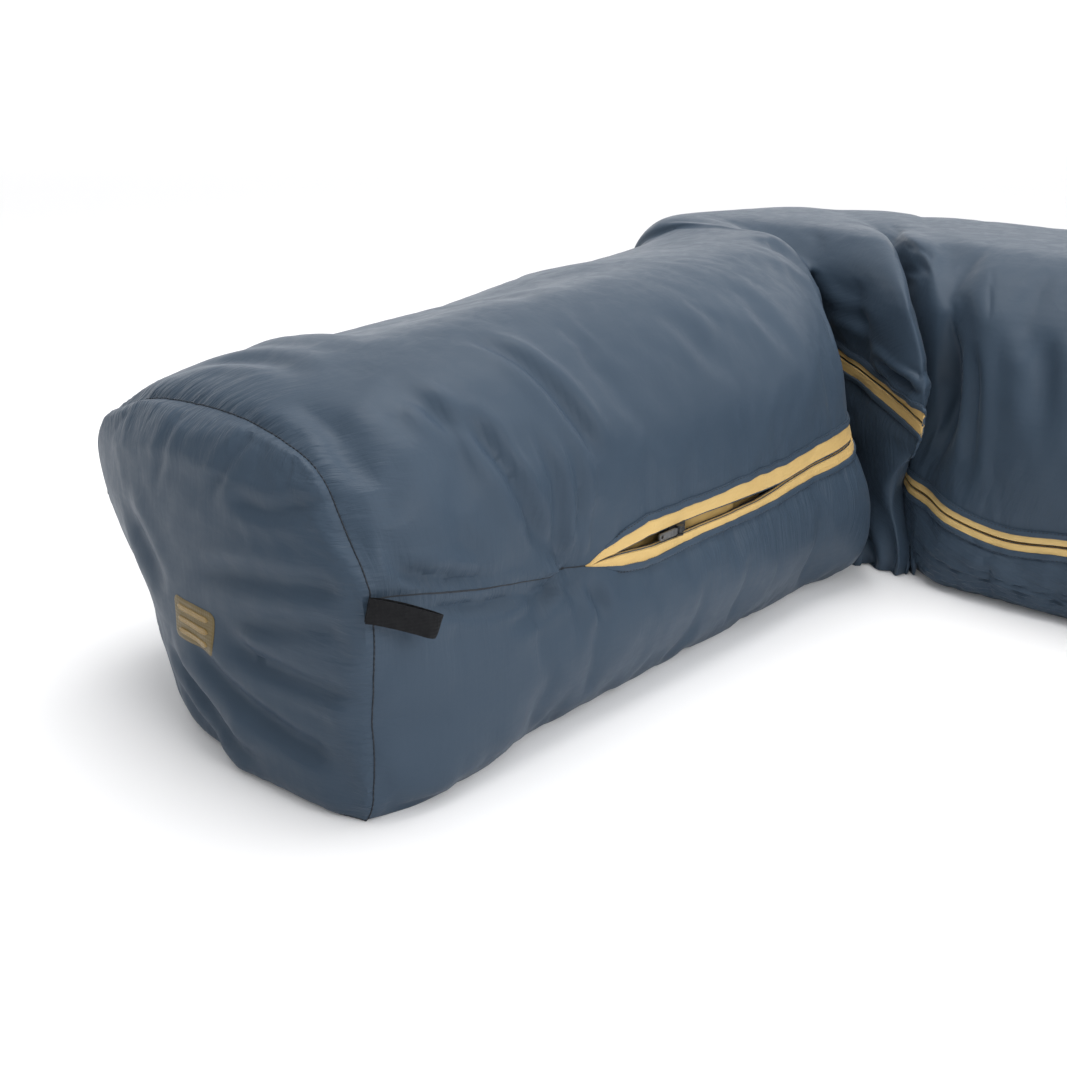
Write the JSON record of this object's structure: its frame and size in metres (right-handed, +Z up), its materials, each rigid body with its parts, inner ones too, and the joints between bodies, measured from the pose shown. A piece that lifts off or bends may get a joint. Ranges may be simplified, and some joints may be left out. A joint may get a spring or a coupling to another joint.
{
  "type": "camp quilt",
  "caption": "Bag-form camp quilt lying bent at the knee, with a closed box foot, a side zip with a draft tube, webbing hang loops and an open head end.",
  "frame": {"origin": "middle of the box of the whole quilt as it lies bent, on the ground", "axes": "+Z up from the ground, +Y along the leg section from the closed foot towards the knee, +X along the torso section from the knee towards the head end"},
  "size_m": [1.12, 1.2156, 0.33],
  "materials": {
    "shell_fabric": "calendered ripstop nylon taffeta, soft sheen",
    "insulation": "lofted polyester batting",
    "lining_fabric": "dark brushed taffeta lining",
    "draft_fabric": "tan taffeta over a thin filled tube",
    "zip_tape": "ribbed woven zip tape",
    "zip_coil": "satin moulded nylon",
    "slider_body": "black enamel",
    "pull_metal": "gunmetal, satin",
    "webbing": "ribbed grosgrain webbing",
    "hook_and_loop": "hook and loop fastener",
    "hem_binding": "folded fabric binding, stitched",
    "patch_thread": "satin-stitch embroidery"
  },
  "bodies": {
    "leg": {"foot_shell": "shell_fabric", "foot_fill": "insulation", "foot_lining": "lining_fabric", "leg_upper_shell": "shell_fabric", "leg_lower_shell": "shell_fabric", "leg_upper_fill": "insulation", "leg_lower_fill": "insulation", "leg_upper_lining": "lining_fabric", "leg_lower_lining": "lining_fabric", "leg_draft_tube": "draft_fabric", "leg_zip_tape_upper": "zip_tape", "leg_zip_tape_lower": "zip_tape", "leg_zip_coil_upper": "zip_coil", "leg_zip_coil_lower": "zip_coil", "zip_foot_stop": "zip_coil", "foot_patch": "patch_thread"},
    "torso": {"torso_upper_shell": "shell_fabric", "torso_lower_shell": "shell_fabric", "torso_upper_fill": "insulation", "torso_lower_fill": "insulation", "torso_upper_lining": "lining_fabric", "torso_lower_lining": "lining_fabric", "torso_draft_tube": "draft_fabric", "torso_zip_tape_upper": "zip_tape", "torso_zip_tape_lower": "zip_tape", "torso_zip_coil_upper": "zip_coil", "torso_zip_coil_lower": "zip_coil", "zip_head_stops": "zip_coil", "head_hem_upper": "hem_binding", "head_hem_lower": "hem_binding", "tab_loop_patch": "hook_and_loop"},
    "foot_slider_body": {"foot_slider": "slider_body"},
    "foot_pull_body": {"foot_pull": "pull_metal"},
    "head_slider_body": {"head_slider": "slider_body"},
    "head_pull_body": {"head_pull": "pull_metal"},
    "loop_right": {"hang_loop_right": "webbing"},
    "loop_left": {"hang_loop_left": "webbing"},
    "tab": {"closure_tab": "shell_fabric", "tab_hook_patch": "hook_and_loop"}
  },
  "joints": [
    {"name": "knee_bend", "type": "hinge", "parent": "leg", "child": "torso", "pos_m": [-0.54246, 0.53284, 0.165], "axis": [0, 0, 1], "range_deg": [0, 90]},
    {"name": "foot_slide", "type": "slide", "parent": "leg", "child": "foot_slider_body", "axis": [0, 1, 0], "range_m": [-0.11, 0.2]},
    {"name": "foot_pull_hinge", "type": "hinge", "parent": "foot_slider_body", "child": "foot_pull_body", "pos_m": [-0.12626, -0.22216, 0.142], "axis": [0, 0, 1], "range_deg": [0, 180]},
    {"name": "head_slide", "type": "slide", "parent": "torso", "child": "head_slider_body", "axis": [1, 0, 0], "range_m": [-0.4, 0]},
    {"name": "head_pull_hinge", "type": "hinge", "parent": "head_slider_body", "child": "head_pull_body", "pos_m": [0.50754, 0.11664, 0.085], "axis": [0, 0, 1], "range_deg": [0, 180]},
    {"name": "loop_right_flex", "type": "hinge", "parent": "leg", "child": "loop_right", "pos_m": [-0.12796, -0.57216, 0.165], "axis": [0, 0, 1], "range_deg": [-118, 20]},
    {"name": "loop_left_flex", "type": "hinge", "parent": "leg", "child": "loop_left", "pos_m": [-0.54696, -0.52416, 0.165], "axis": [0, 0, 1], "range_deg": [0, 140]},
    {"name": "tab_lift", "type": "hinge", "parent": "torso", "child": "tab", "pos_m": [0.54154, 0.11974, 0.1113], "axis": [-1, 0, 0], "range_deg": [0, 150]}
  ]
}
